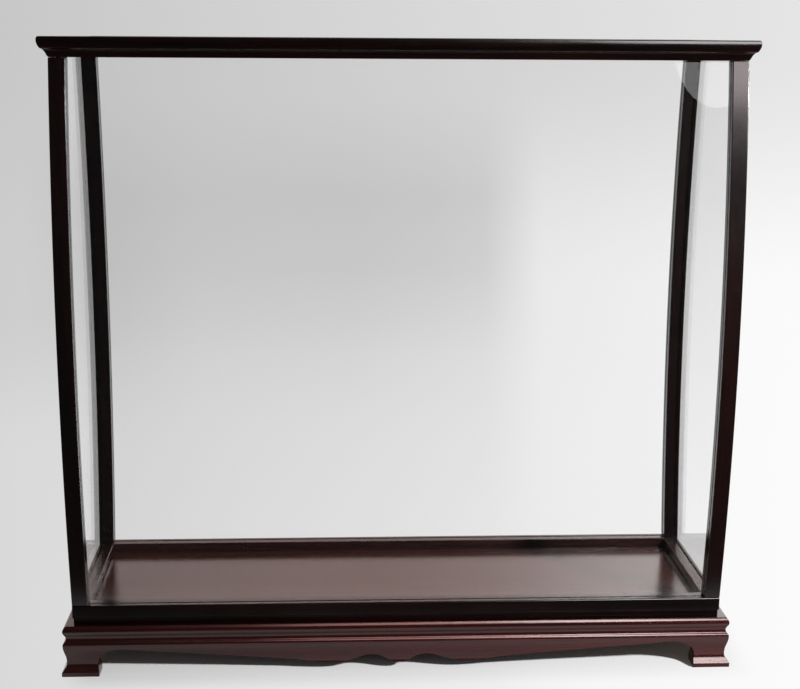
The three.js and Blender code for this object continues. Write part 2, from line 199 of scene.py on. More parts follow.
def rounded(corners, radius, steps=3):
    """The outline through these corners, with each outward corner rounded. A corner written as
    (x, y, r) has its own radius."""
    count, points = len(corners), []
    for i, corner in enumerate(corners):
        before, at, after = (Vector(corners[(i + k) % count][:2]) for k in (-1, 0, 1))
        r = corner[2] if len(corner) > 2 else radius
        if r == 0:
            points.append(tuple(at))
            continue
        a, b = (before - at).normalized(), (after - at).normalized()
        reach = r / math.tan(a.angle(b) / 2)
        centre = at + (a + b).normalized() * (r / math.sin(a.angle(b) / 2))
        start, end = at + a * reach - centre, at + b * reach - centre
        for k in range(steps + 1):
            points.append(tuple(centre + start.slerp(end, k / steps).normalized() * r))
    return points


def base_outline():
    waist, cove = (WAIST_OUT, WAIST_UP), (COVE_OUT, COVE_UP)
    lower_nose, upper_nose = (LOWER_NOSE_OUT, LOWER_NOSE_UP), (UPPER_NOSE_OUT, UPPER_NOSE_UP)
    shoulder = LOWER_NOSE_UP + LOWER_NOSE_RISE
    hollow = (WAIST_UP - PAD_UP) * PAD_EASE
    cyma = (LOWER_NOSE_UP - WAIST_UP) * CYMA_EASE
    crest = (UPPER_NOSE_UP - COVE_UP) * COVE_EASE
    inner = PAD_OUT - APRON_STOCK
    shape = Outline(inner, 0)
    shape.line((PAD_OUT - PAD_ARRIS, 0), (PAD_OUT, PAD_ARRIS))
    shape.line((PAD_OUT, PAD_UP - PAD_ARRIS), (PAD_OUT - PAD_ARRIS, PAD_UP))
    shape.curve((WAIST_OUT + PAD_SPREAD, PAD_UP + hollow), (WAIST_OUT, WAIST_UP - hollow), waist)
    shape.curve((WAIST_OUT, WAIST_UP + cyma), (LOWER_NOSE_OUT, LOWER_NOSE_UP - cyma), lower_nose)
    shape.curve(
        (LOWER_NOSE_OUT, LOWER_NOSE_UP + LOWER_NOSE_RISE * NOSE_EASE),
        ((LOWER_NOSE_OUT + COVE_OUT) / 2, shoulder),
    )
    shape.curve((COVE_OUT, shoulder + LOWER_NOSE_RISE * SHOULDER_EASE), cove)
    shape.curve((COVE_OUT, COVE_UP + crest), (UPPER_NOSE_OUT, UPPER_NOSE_UP - crest), upper_nose)
    shape.curve(
        (UPPER_NOSE_OUT, UPPER_NOSE_UP + (LIP_UP - UPPER_NOSE_UP) * NOSE_EASE), (LIP_OUT, LIP_UP)
    )
    shape.line((inner, LIP_UP))
    return shape.scaled()


def crown_outline(groove_inset):
    """The crown's section, with its pane's groove below and the top pane's rebate above."""
    post = POST / MM
    half = (PANE / 2 + FIT) / MM
    lean = (bow_at(POST_LENGTH) - bow_at(POST_LENGTH + GROOVE)) / MM
    depth = (GROOVE + FIT) / MM
    outer, inner = -groove_inset / MM + half, -groove_inset / MM - half - lean
    shape = Outline(-post, 0)
    shape.line((inner, 0), (inner, depth), (outer, depth), (outer, 0), (-CROWN_INSET, 0))
    shape.line((FILLET_OUT, FILLET_UP))
    shape.curve((HOLLOW, QUIRK_UP * QUIRK_EASE), (QUIRK_OUT - QUIRK_STEP, QUIRK_UP))
    shape.line((QUIRK_OUT, QUIRK_UP + QUIRK_LIFT))
    shape.curve((CROWN_OUT, (QUIRK_UP + CROWN_NOSE_UP) / 2), (CROWN_OUT, CROWN_NOSE_UP))
    shape.curve((CROWN_OUT, CROWN_UP), (CROWN_LIP, CROWN_UP))
    shape.line((REBATE - post, CROWN_UP), (REBATE - post, TOP_SEAT), (-post, TOP_SEAT))
    return shape.scaled()


def sawn_outline(along, long):
    """What is sawn out of an apron: two arches inside the feet, with a scroll or a sag between."""
    edge = along / MM + PAD_OUT - FOOT_LENGTH
    spring, ease_up = edge + FOOT_FLARE, ARCH_TOP - ARCH_EASE_UP
    shape = Outline(-edge, -OVERRUN).line((-edge, PAD_UP), (-spring, ARCH_SPRING))
    shape.curve((-spring, ease_up), (-edge + ARCH_EASE_IN, ARCH_TOP), (-edge + ARCH_RUN, ARCH_TOP))
    if long:
        half = (LOBE_X - CUSP_X) / 2
        shape.line((-LOBE_X - LOBE_RUN, LOBE_UP + LOBE_RISE))
        shape.curve((-LOBE_X - LOBE_RUN / 2, LOBE_UP), (-LOBE_X, LOBE_UP))
        shape.curve((-LOBE_X + half, LOBE_UP), (-CUSP_X - half / 2, CUSP_UP), (-CUSP_X, CUSP_UP))
        shape.curve((-CUSP_X / 2, CUSP_UP), (-CUSP_X / 2, CENTRE_UP), (0, CENTRE_UP))
        shape.curve((CUSP_X / 2, CENTRE_UP), (CUSP_X / 2, CUSP_UP), (CUSP_X, CUSP_UP))
        shape.curve((CUSP_X + half / 2, CUSP_UP), (LOBE_X - half, LOBE_UP), (LOBE_X, LOBE_UP))
        shape.curve((LOBE_X + LOBE_RUN / 2, LOBE_UP), (LOBE_X + LOBE_RUN, LOBE_UP + LOBE_RISE))
        shape.line((edge - ARCH_RUN, ARCH_TOP))
    else:
        reach = edge - ARCH_RUN
        shape.curve((-reach / 2, SIDE_CENTRE_UP), (0, SIDE_CENTRE_UP))
        shape.curve((reach / 2, SIDE_CENTRE_UP), (reach, ARCH_TOP))
    shape.curve((edge - ARCH_EASE_IN, ARCH_TOP), (spring, ease_up), (spring, ARCH_SPRING))
    shape.line((edge, PAD_UP), (edge, -OVERRUN))
    return shape.scaled()


def bow_at(up):
    """How far a post stands out, this far up from its foot."""
    return math.sqrt(BOW_RADIUS**2 - (up - POST_LENGTH / 2) ** 2) - (BOW_RADIUS - BOW)


# Solids


def sweep(name, outline, stations, place):
    """Carries a closed outline through the stations. place(u, v, station) is a corner's place."""
    bm = bmesh.new()
    rings = [[bm.verts.new(place(u, v, s)) for u, v in outline] for s in stations]
    for near, far in zip(rings, rings[1:]):
        for i in range(len(outline)):
            j = (i + 1) % len(outline)
            bm.faces.new((near[i], near[j], far[j], far[i]))
    bm.faces.new(rings[0][::-1])
    bm.faces.new(rings[-1])
    bmesh.ops.recalc_face_normals(bm, faces=bm.faces)
    mesh = bpy.data.meshes.new(name)
    bm.to_mesh(mesh)
    bm.free()
    piece = bpy.data.objects.new(name, mesh)
    bpy.context.scene.collection.objects.link(piece)
    return piece


def apply_modifiers(piece):
    """Makes the piece's mesh what its modifiers show."""
    shown = piece.evaluated_get(bpy.context.evaluated_depsgraph_get())
    mesh = bpy.data.meshes.new_from_object(shown)
    old = piece.data
    piece.modifiers.clear()
    piece.data = mesh
    mesh.name = piece.name
    bpy.data.meshes.remove(old)


def cut(piece, *tools):
    """Takes the tools out of the piece."""
    for tool in tools:
        difference = piece.modifiers.new("Cut", "BOOLEAN")
        difference.operation = "DIFFERENCE"
        difference.solver = "EXACT"
        difference.object = tool
        apply_modifiers(piece)
        mesh = tool.data
        bpy.data.objects.remove(tool)
        bpy.data.meshes.remove(mesh)


def weigh_edges(piece, share, is_sawn):
    """Marks the sharp edges for a bevel: full width where a face is sawn, a share elsewhere."""
    bm = bmesh.new()
    bm.from_mesh(piece.data)
    weight = bm.edges.layers.float.new("bevel_weight_edge")
    for edge in bm.edges:
        if len(edge.link_faces) == 2 and edge.calc_face_angle(0) > math.radians(SHARP):
            edge[weight] = 1.0 if any(is_sawn(face) for face in edge.link_faces) else share
    bm.to_mesh(piece.data)
    bm.free()


def soften(piece, width, segments=2, angle=SHARP):
    """Rounds the sharp edges, and shades the rest smoothly with its broad faces flat. Where
    weigh_edges has marked the edges, it rounds those."""
    arris = piece.modifiers.new("Arris", "BEVEL")
    arris.width = width
    arris.segments = segments
    arris.limit_method = "WEIGHT" if "bevel_weight_edge" in piece.data.attributes else "ANGLE"
    arris.angle_limit = math.radians(angle)
    arris.miter_outer = "MITER_ARC"
    shade = piece.modifiers.new("Shade", "WEIGHTED_NORMAL")
    shade.keep_sharp = True
    for face in piece.data.polygons:
        face.use_smooth = True
    apply_modifiers(piece)


def peg(name, x, y, radius, z0, z1, steps=24):
    """An upright round bar."""
    turns = [2 * math.pi * i / steps for i in range(steps)]
    outline = [(radius * math.cos(turn), radius * math.sin(turn)) for turn in turns]
    return sweep(name, outline, (z0, z1), lambda u, v, z: (x + u, y + v, z))


def pin_holes(kind, corners):
    """Cutting tools for the pins of a kind at these corners, a little larger than the pins."""
    tools = []
    for x, y in corners:
        lo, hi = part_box(f"{kind}_{END_NAME[y]}_{SIDE_NAME[x]}")
        centre, radius = (lo + hi) / 2, (hi.x - lo.x) / 2 + FIT
        tools.append(peg("hole", centre.x, centre.y, radius, lo.z - FIT, hi.z + FIT))
    return tools


def moulding(name, outline, turn, along, across):
    """A strip along one side of the case, mitred at its ends, made as for the front."""
    strip = sweep(
        name, outline, (-1, 1), lambda out, up, end: (end * (along + out - SEAM / 2), -(across + out), up)
    )
    strip.data.transform(Matrix.Rotation(turn, 4, "Z"))
    return strip


def slab(name, lo, hi):
    """A box between two corners."""
    outline = [(lo.x, lo.y), (hi.x, lo.y), (hi.x, hi.y), (lo.x, hi.y)]
    return sweep(name, outline, (lo.z, hi.z), lambda u, v, z: (u, v, z))


# Shader nodes


def node(tree, kind, values=(), **settings):
    """A shader node. values maps its sockets to numbers, colours or the sockets that feed them."""
    made = tree.nodes.new("ShaderNode" + kind)
    for name, value in settings.items():
        setattr(made, name, value)
    for socket, value in dict(values).items():
        if isinstance(value, bpy.types.NodeSocket):
            tree.links.new(value, made.inputs[socket])
        else:
            made.inputs[socket].default_value = value
    return made


def math_of(tree, operation, a, b, clamp=False):
    return node(tree, "Math", {0: a, 1: b}, operation=operation, use_clamp=clamp).outputs[0]


def vector_of(tree, operation, a, b=(0, 0, 0)):
    return node(tree, "VectorMath", {0: a, 1: b}, operation=operation).outputs[0]


def mixed(tree, share, a, b, blend="MIX"):
    """Colour b blended into colour a, by a share of 0 to 1."""
    made = node(tree, "Mix", {0: share, 6: a, 7: b}, data_type="RGBA", blend_type=blend)
    return made.outputs[2]


def remapped(tree, value, start, end, to_start=0.0, to_end=1.0, smooth=False):
    """Carries start and end to to_start and to_end. Beyond them the value is held."""
    values = {"Value": value, 1: start, 2: end, 3: to_start, 4: to_end}
    kind = "SMOOTHSTEP" if smooth else "LINEAR"
    return node(tree, "MapRange", values, interpolation_type=kind).outputs[0]


def ramp(tree, fac, *stops):
    """A colour ramp through (position, colour) stops; a number stands for a grey."""
    made = node(tree, "ValToRGB", {"Fac": fac})
    elements = made.color_ramp.elements
    while len(elements) < len(stops):
        elements.new(1.0)
    for element, (position, colour) in zip(elements, stops):
        element.position = position
        element.color = (colour,) * 3 + (1,) if isinstance(colour, (int, float)) else (*colour, 1)
    return made.outputs["Color"]


def stretched(tree, axis, along, across):
    """Object coordinates drawn out along one axis, so that noise on them runs as grain does."""
    place = node(tree, "TexCoord").outputs["Object"]
    scale = [across] * 3
    scale[axis] = along
    return node(tree, "Mapping", {"Vector": place, "Scale": scale}).outputs["Vector"]


def noise(tree, vector, scale=1.0, detail=4.0, rough=0.5, distortion=0.0):
    values = {"Vector": vector, "Scale": scale, "Detail": detail}
    values.update({"Roughness": rough, "Distortion": distortion})
    return node(tree, "TexNoise", values).outputs["Fac"]


def blank(name):
    material = bpy.data.materials.new(name)
    material.use_nodes = True
    tree = material.node_tree
    tree.nodes.clear()
    return material, tree, node(tree, "OutputMaterial")


def surface(tree, out, shader):
    tree.links.new(shader.outputs[0], out.inputs["Surface"])


# Materials. Grain is noise with this much detail per metre, along it and across it.

FIGURE, STREAKS, PORES = (1.6, 26), (9, 700), (45, 1500)
PORE_SHARE, PORE_DEPTH = 0.5, 0.25  # how much a pore darkens the stain and dents the lacquer
BARE_FIGURE, BARE_FIBRE = (3, 60), (20, 1100)
BARE_TONES = ((0.3, (0.36, 0.22, 0.12)), (0.5, (0.52, 0.35, 0.2)), (0.7, (0.62, 0.45, 0.28)))
ZINC_TONES = ((0.3, (0.42, 0.42, 0.4)), (0.7, (0.66, 0.66, 0.63)))
ACRYLIC_IOR = 1.49
MIRROR_LOSS = 0.024  # how much weaker each face mirrors than polished sheet
VEIL = 0.003  # how much of the sheet a film of dust hides at most
SPECK_SIZE, SPECK_SHARE = 0.045, 0.12  # a grain of dust, and how much it hides

RED_DEEP, RED_WARM = (0.02, 0.0018, 0.0016), (0.036, 0.0032, 0.0026)
BLACK_DEEP, BLACK_WARM = (0.0022, 0.0008, 0.0008), (0.006, 0.0016, 0.0014)
# Painted light: the rear and side rails' lacquer is a lighter, warmer copy of the black, standing for
# light bounced onto their inner faces from the deck
BOUNCE_LIT_DEEP, BOUNCE_LIT_WARM = (0.009, 0.0036, 0.0032), (0.025, 0.0095, 0.008)
DECK_DEEP, DECK_WARM = (0.034, 0.0125, 0.01), (0.05, 0.0175, 0.0135)


def lacquered(name, axis, deep, warm, roughness, haze, gloss=0.5):
    """Stained wood under lacquer. axis is the way its grain runs: 0, 1 or 2."""
    material, tree, out = blank(name)
    figure = noise(tree, stretched(tree, axis, *FIGURE), detail=5, rough=0.6, distortion=0.8)
    streaks = noise(tree, stretched(tree, axis, *STREAKS), detail=3)
    pore = ramp(tree, noise(tree, stretched(tree, axis, *PORES), detail=2), (0.34, 0.0), (0.44, 1.0))
    colour = ramp(tree, figure, (0.36, deep), (0.62, warm))
    colour = mixed(tree, 1.0, colour, ramp(tree, streaks, (0.3, 0.62), (0.7, 1.35)), "MULTIPLY")
    colour = mixed(tree, PORE_SHARE, colour, pore, "MULTIPLY")
    place = node(tree, "TexCoord").outputs["Object"]
    smear = noise(tree, place, scale=14, detail=5, rough=0.6)
    rough = remapped(tree, smear, 0.3, 0.7, roughness - haze, roughness + haze)
    waves = noise(tree, place, scale=60, detail=2)
    relief = math_of(tree, "ADD", math_of(tree, "MULTIPLY", pore, PORE_DEPTH), waves)
    bump = node(tree, "Bump", {"Strength": 0.12, "Distance": 0.0004, "Height": relief}).outputs[0]
    values = {"Base Color": colour, "Roughness": rough, "Normal": bump}
    values.update({"IOR": 1.5, "Specular IOR Level": gloss})
    surface(tree, out, node(tree, "BsdfPrincipled", values))
    return material


def lacquers(name, axes, deep, warm, **finish):
    """The same lacquer with its grain along X, along Y and so on, one for each of the axes."""
    return [lacquered(f"{name}_{'xyz'[axis]}", axis, deep, warm, **finish) for axis in range(axes)]


def bare_wood(axis):
    material, tree, out = blank("bare_wood_" + "xyz"[axis])
    figure = noise(tree, stretched(tree, axis, *BARE_FIGURE), detail=6, rough=0.65, distortion=1.2)
    fibre = noise(tree, stretched(tree, axis, *BARE_FIBRE), detail=3)
    colour = ramp(tree, figure, *BARE_TONES)
    colour = mixed(tree, 0.5, colour, ramp(tree, fibre, (0.3, 0.6), (0.65, 1.0)), "MULTIPLY")
    bump = node(tree, "Bump", {"Strength": 0.35, "Distance": 0.0005, "Height": fibre}).outputs[0]
    values = {"Base Color": colour, "Roughness": 0.72, "Normal": bump}
    surface(tree, out, node(tree, "BsdfPrincipled", values))
    return material


def zinc():
    material, tree, out = blank("zinc_plate")
    cloud = noise(tree, node(tree, "TexCoord").outputs["Object"], scale=420, detail=4)
    colour = ramp(tree, cloud, *ZINC_TONES)
    rough = remapped(tree, cloud, 0.3, 0.7, 0.28, 0.45)
    bump = node(tree, "Bump", {"Strength": 0.2, "Distance": 0.0002, "Height": cloud}).outputs[0]
    values = {"Base Color": colour, "Metallic": 1.0, "Roughness": rough, "Normal": bump}
    surface(tree, out, node(tree, "BsdfPrincipled", values))
    return material


def acrylic():
    """Clear sheet: it mirrors by its angle, lets the rest straight through, and holds a little
    dust. Both faces of the sheet meet air, so a face seen from inside mirrors as the outer one."""
    material, tree, out = blank("acrylic")
    inside = node(tree, "NewGeometry").outputs["Backfacing"]
    ior = remapped(tree, inside, 0, 1, ACRYLIC_IOR, 1 / ACRYLIC_IOR)
    fresnel = node(tree, "Fresnel", {"IOR": ior}).outputs[0]
    mirror = math_of(tree, "SUBTRACT", fresnel, MIRROR_LOSS, clamp=True)
    place = node(tree, "TexCoord").outputs["Object"]
    veil = remapped(tree, noise(tree, place, scale=6, detail=6), 0.4, 0.75, 0.0, VEIL)
    cells = node(tree, "TexVoronoi", {"Vector": place, "Scale": 90.0, "Randomness": 1.0})
    specks = math_of(tree, "LESS_THAN", cells.outputs["Distance"], SPECK_SIZE)
    dust = math_of(tree, "ADD", veil, math_of(tree, "MULTIPLY", specks, SPECK_SHARE), clamp=True)
    clear = node(tree, "BsdfTransparent", {"Color": (0.995, 0.994, 0.995, 1)})
    powder = node(tree, "BsdfDiffuse", {"Color": (0.8, 0.8, 0.78, 1)})
    gloss = node(tree, "BsdfGlossy", {"Color": (1, 1, 1, 1), "Roughness": 0.015})
    sheet = node(tree, "MixShader", {0: dust, 1: clear.outputs[0], 2: powder.outputs[0]})
    both = node(tree, "MixShader", {0: mirror, 1: sheet.outputs[0], 2: gloss.outputs[0]})
    surface(tree, out, both)
    return material


lacquer = lacquers("lacquer", 3, BLACK_DEEP, BLACK_WARM, roughness=0.19, haze=0.03)
red_lacquer = lacquers("red_lacquer", 2, RED_DEEP, RED_WARM, roughness=0.19, haze=0.03)
crown_lacquer = lacquers("crown_lacquer", 2, BLACK_DEEP, BLACK_WARM, roughness=0.19, haze=0.03, gloss=0.2)
# Painted light: the rails' lighter lacquer stands for light bounced onto them from the deck
brown_lacquer = lacquers("brown_lacquer", 2, BOUNCE_LIT_DEEP, BOUNCE_LIT_WARM, roughness=0.26, haze=0.04, gloss=0.3)
deck_satin = lacquered("deck_satin", 0, DECK_DEEP, DECK_WARM, roughness=0.18, haze=0.015)
planed = [bare_wood(axis) for axis in range(3)]
plated = zinc()
clear_sheet = acrylic()


def settle(piece, body, material, name):
    """Gives a piece its material, and lets it ride on its body in place of the CAD piece."""
    piece.data.materials.clear()
    piece.data.materials.append(material)
    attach(piece, body)
    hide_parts(name)


# Base


def build_apron(name, turn, along, across):
    apron = moulding(f"apron_{name}_wood", base_outline(), turn, along, across)
    front = across + 2 * PAD_OUT * MM
    back = across + (PAD_OUT - APRON_STOCK - OVERRUN) * MM
    saw = sweep(
        "saw", sawn_outline(along, long_side(name)), (-front, -back), lambda u, v, y: (u, y, v)
    )
    saw.data.transform(Matrix.Rotation(turn, 4, "Z"))
    cut(apron, saw, *pin_holes("cover_pin", end_corners(name)))
    through = Vector((0, 1, 0)) if long_side(name) else Vector((1, 0, 0))

    def is_sawn(face):
        square = abs(face.normal.dot(through)) < SQUARE
        return square and SAWN_FROM * MM < face.calc_center_median().z < SAWN_TO * MM

    weigh_edges(apron, SHARP_ARRIS / SAWN_ARRIS, is_sawn)
    soften(apron, SAWN_ARRIS)
    for corner in apron.data.vertices:
        corner.co.z = max(corner.co.z, 0.0)  # the rounding leaves the foot exactly on the floor
    settle(apron, "base", red_lacquer[grain_axis(name)], f"apron_{name}")


def build_plinth(name, turn, along, across):
    outline = [
        (-PLINTH_INNER, PLINTH_FOOT),
        (-PLINTH_SETBACK, PLINTH_FOOT),
        (-PLINTH_SETBACK, PLINTH_TOP),
        (-PLINTH_INNER, PLINTH_TOP),
    ]
    plinth = moulding(f"plinth_{name}_wood", outline, turn, along, across)
    cut(plinth, *pin_holes("cover_pin", end_corners(name)))
    soften(plinth, SHARP_ARRIS)
    settle(plinth, "base", lacquer[grain_axis(name)], f"plinth_{name}")


def build_base():
    for side in SIDES:
        build_apron(*side)
        build_plinth(*side)
    deck = slab("deck_board", *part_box("deck_panel"))
    soften(deck, DECK_ARRIS, segments=3)
    settle(deck, "base", deck_satin, "deck_panel")


# Cover


def post_outline():
    """A post's section with the grooves of its two panes. Its first corner is its outer one, and
    both its measures run inwards from there."""
    half = PANE / 2 + FIT
    corners = [
        (0, 0),
        (POST, 0),
        (POST, FRONT_PANE_INSET - half, 0),
        (POST - GROOVE, FRONT_PANE_INSET - half, 0),
        (POST - GROOVE, FRONT_PANE_INSET + half, 0),
        (POST, FRONT_PANE_INSET + half, 0),
        (POST, POST),
        (SIDE_PANE_INSET + half, POST, 0),
        (SIDE_PANE_INSET + half, POST - GROOVE, 0),
        (SIDE_PANE_INSET - half, POST - GROOVE, 0),
        (SIDE_PANE_INSET - half, POST, 0),
        (0, POST),
    ]
    return rounded(corners, ARRIS)


def build_post(x, y):
    """The post at the corner where x and y point."""
    name = f"post_{END_NAME[y]}_{SIDE_NAME[x]}"
    stations = [POST_FOOT + POST_LENGTH * i / BOW_STEPS for i in range(BOW_STEPS + 1)]
    rounds = [POST_END * k / POST_END_STEPS for k in range(1, POST_END_STEPS + 1)]
    stations += [POST_FOOT + up for up in rounds] + [POST_TOP - up for up in rounds]

    def place(u, v, z):
        short = max(0.0, POST_END - min(z - POST_FOOT, POST_TOP - z))
        inset = POST_END - math.sqrt(max(0.0, POST_END**2 - short**2))
        u, v = (POST / 2 + (w - POST / 2) * (1 - 2 * inset / POST) for w in (u, v))
        return x * (HALF_LENGTH - u), y * (HALF_DEPTH + bow_at(z - POST_FOOT) - v), z

    post = sweep(f"{name}_wood", post_outline(), sorted(stations), place)
    cut(post, *pin_holes("lid_pin", [(x, y)]))
    soften(post, SHARP_ARRIS, angle=VERY_SHARP)
    settle(post, "cover", lacquer[2], name)


def rail_outline(inset):
    """A rail's section: in from its outer face, and up, with the groove of its pane."""
    half = PANE / 2 + FIT
    top = RAIL_TOP - RAIL_FOOT
    corners = [
        (0, 0),
        (POST, 0),
        (POST, top),
        (inset + half, top, 0),
        (inset + half, top - GROOVE, 0),
        (inset - half, top - GROOVE, 0),
        (inset - half, top, 0),
        (0, top, RAIL_ARRIS),
    ]
    return rounded(corners, ARRIS)


def build_rails():
    for y, end in END_NAME.items():
        rail = sweep(
            f"rail_{end}_wood", rail_outline(FRONT_PANE_INSET), (-HALF_LENGTH, HALF_LENGTH),
            lambda u, v, x: (x, y * (HALF_DEPTH - u), RAIL_FOOT + v),
        )
        cut(rail, *pin_holes("cover_pin", end_corners(end)))
        soften(rail, SHARP_ARRIS, angle=VERY_SHARP)
        # The rear rail's lighter lacquer is painted bounce light from the deck; the front rail keeps the
        # plain black
        settle(rail, "cover", (lacquer if end == "front" else brown_lacquer)[0], f"rail_{end}")
    reach = HALF_DEPTH - POST - SEAM
    for x, side in SIDE_NAME.items():
        rail = sweep(
            f"rail_{side}_wood", rail_outline(SIDE_PANE_INSET), (-reach, reach),
            lambda u, v, y: (x * (HALF_LENGTH - u), y, RAIL_FOOT + v),
        )
        soften(rail, SHARP_ARRIS, angle=VERY_SHARP)
        # The side rails' lighter lacquer is painted bounce light from the deck
        settle(rail, "cover", brown_lacquer[1], f"rail_{side}")


def build_panes():
    height, half = PANE_TOP - PANE_FOOT, PANE / 2
    stations = [PANE_FOOT + height * i / BOW_STEPS for i in range(BOW_STEPS + 1)]
    outline = [(-PANE_END, -half), (PANE_END, -half), (PANE_END, half), (-PANE_END, half)]
    for y, end in END_NAME.items():
        pane = sweep(
            f"pane_{end}_sheet", outline, stations,
            lambda u, v, z: (u, y * (HALF_DEPTH + bow_at(z - POST_FOOT) - FRONT_PANE_INSET + v), z),
        )
        soften(pane, PANE_ARRIS, segments=1, angle=VERY_SHARP)
        settle(pane, "cover", clear_sheet, f"pane_{end}")
    edge = [(-(HALF_DEPTH + bow_at(z - POST_FOOT) - SIDE_PANE_EDGE), z) for z in stations]
    outline = edge + [(-y, z) for y, z in reversed(edge)]
    for x, side in SIDE_NAME.items():
        faces = (x * SIDE_PANE_X - half, x * SIDE_PANE_X + half)
        pane = sweep(f"pane_{side}_sheet", outline, faces, lambda u, v, s: (s, u, v))
        soften(pane, PANE_ARRIS, segments=1, angle=VERY_SHARP)
        settle(pane, "cover", clear_sheet, f"pane_{side}")


# Crown


def build_crown():
    for name, turn, along, across in SIDES:
        inset = FRONT_PANE_INSET if long_side(name) else SIDE_PANE_INSET
        outline = [(out, up + CROWN_FOOT) for out, up in crown_outline(inset)]
        crown = moulding(f"crown_{name}_wood", outline, turn, along, across)
        cut(crown, *pin_holes("lid_pin", end_corners(name)))
        soften(crown, SHARP_ARRIS)
        settle(crown, "lid", crown_lacquer[grain_axis(name)], f"crown_{name}")
    pane = slab("pane_top_sheet", *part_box("pane_top"))
    soften(pane, PANE_ARRIS, segments=1)
    settle(pane, "lid", clear_sheet, "pane_top")


def dress_hidden_pieces():
    """Better finishes for the pieces whose solids are shown as they are."""
    for name, part in frame["nodes"].items():
        if name.startswith("deck_cleat"):
            finish = planed[grain_axis(name.split("_")[-1])]
        elif name.startswith(("foot_block", "cover_pin")):
            finish = planed[2]
        elif name.startswith(("deck_screw", "post_screw", "lid_pin")):
            finish = plated
        else:
            continue
        part.data.materials.clear()
        part.data.materials.append(finish)


# Stage: a pale floor that runs into a pale backdrop, and a room that is dark in front

# Where the photo was taken from: the camera's place, and the fixed point round which the
# backdrop's tones are laid out, so that the floor meets the backdrop without an edge
VIEWPOINT = (-0.09842, -2.04187, 0.8798)
# Painted light: the backdrop's rows are brighter to the right and below, as light from a lamp at the
# right falls off
GLOW_X = (-0.22, 0.31)  # sideways reach of the backdrop's tones, as unit directions
GLOW_TOP, GLOW_MIDDLE, GLOW_BOTTOM = 0.0, -0.18, -0.28  # heights of its three rows
TOP_ROW = ((0.0, 0.57), (0.5, 0.675), (1.0, 0.78))
MIDDLE_ROW = (
    (0.0, 0.61), (0.12, 0.64), (0.25, 0.72), (0.45, 0.76), (0.7, 0.89), (0.9, 0.95), (1.0, 0.96),
)
BOTTOM_ROW = ((0.0, 0.69), (0.25, 0.77), (0.5, 0.84), (0.75, 0.92), (1.0, 0.965))
WALL_ROW = (  # above the floor's edge, as polished faces see it
    (0.0, (0.85, 0.75, 0.71)), (0.32, (1.15, 0.9, 0.85)), (0.51, (1.21, 0.92, 0.87)),
    (0.64, (1.43, 1.16, 1.1)), (0.78, (2.2, 2.0, 1.95)), (0.9, (2.45, 2.35, 2.3)),
)
WALL_FROM, WALL_WHOLE = 0.0, 0.2  # heights between which polished faces see it come in
# Painted shadow: a soft shade of the case laid on the backdrop, left of its middle
SHADE_FROM, SHADE_TO = -0.34, 0.0  # heights of a soft shade on the backdrop, left of its middle
SHADE_ACROSS = ((0.03, 0.0), (0.13, 0.13), (0.35, 0.16), (0.55, 0.2), (0.62, 0.19), (0.69, 0.0))
SHADE_UP = ((0.0, 0.15), (0.36, 0.42), (0.54, 1.0), (0.68, 1.0), (0.88, 0.1), (0.94, 0.0))
FLOOR_REACH, FLOOR_DEPTH = 60, 0.02
PAPER = ((0.3, 0.86), (0.7, 0.9))  # how much of the backdrop's tone the paper has, by its tooth
FOOTPRINT = (0.45, 0.1515, 0.0)  # half the size of the stretch that takes the case's shadow
FOOTPRINT_CENTRE = (0.022, 0.0, 0.0)
NEAR, FAR = 0.0, 0.05  # outside the footprint: where the lit floor turns into the backdrop
DARK_FROM, DARK_TO = 0.235, 0.31  # in front of the case's middle, as polished faces see the floor
ROOM = (0.045, 0.045, 0.045, 1)  # the room in front, in those faces
ROOM_FROM, ROOM_TO = -0.15, 0.35  # directions between which the room turns into the backdrop
AMBIENT = (0.21, 0.21, 0.21, 1)  # soft light from all round


def backdrop_colour(tree, direction):
    """The backdrop's tone, brighter to the right and below; direction is a unit vector."""
    sideways, _, up = node(tree, "SeparateXYZ", {0: direction}).outputs
    across = remapped(tree, sideways, *GLOW_X)
    # Painted light: the rows brighten the backdrop towards the right and towards the bottom
    top, middle, bottom = (ramp(tree, across, *row) for row in (TOP_ROW, MIDDLE_ROW, BOTTOM_ROW))
    upper = mixed(tree, remapped(tree, up, GLOW_TOP, GLOW_MIDDLE, smooth=True), top, middle)
    plain = mixed(tree, remapped(tree, up, GLOW_MIDDLE, GLOW_BOTTOM, smooth=True), upper, bottom)
    # Painted shadow: the case's soft shade on the backdrop, darkening it left of its middle
    height = remapped(tree, up, SHADE_FROM, SHADE_TO)
    shade = math_of(
        tree, "MULTIPLY", ramp(tree, across, *SHADE_ACROSS), ramp(tree, height, *SHADE_UP)
    )
    return mixed(tree, 1.0, plain, math_of(tree, "SUBTRACT", 1.0, shade), "MULTIPLY")


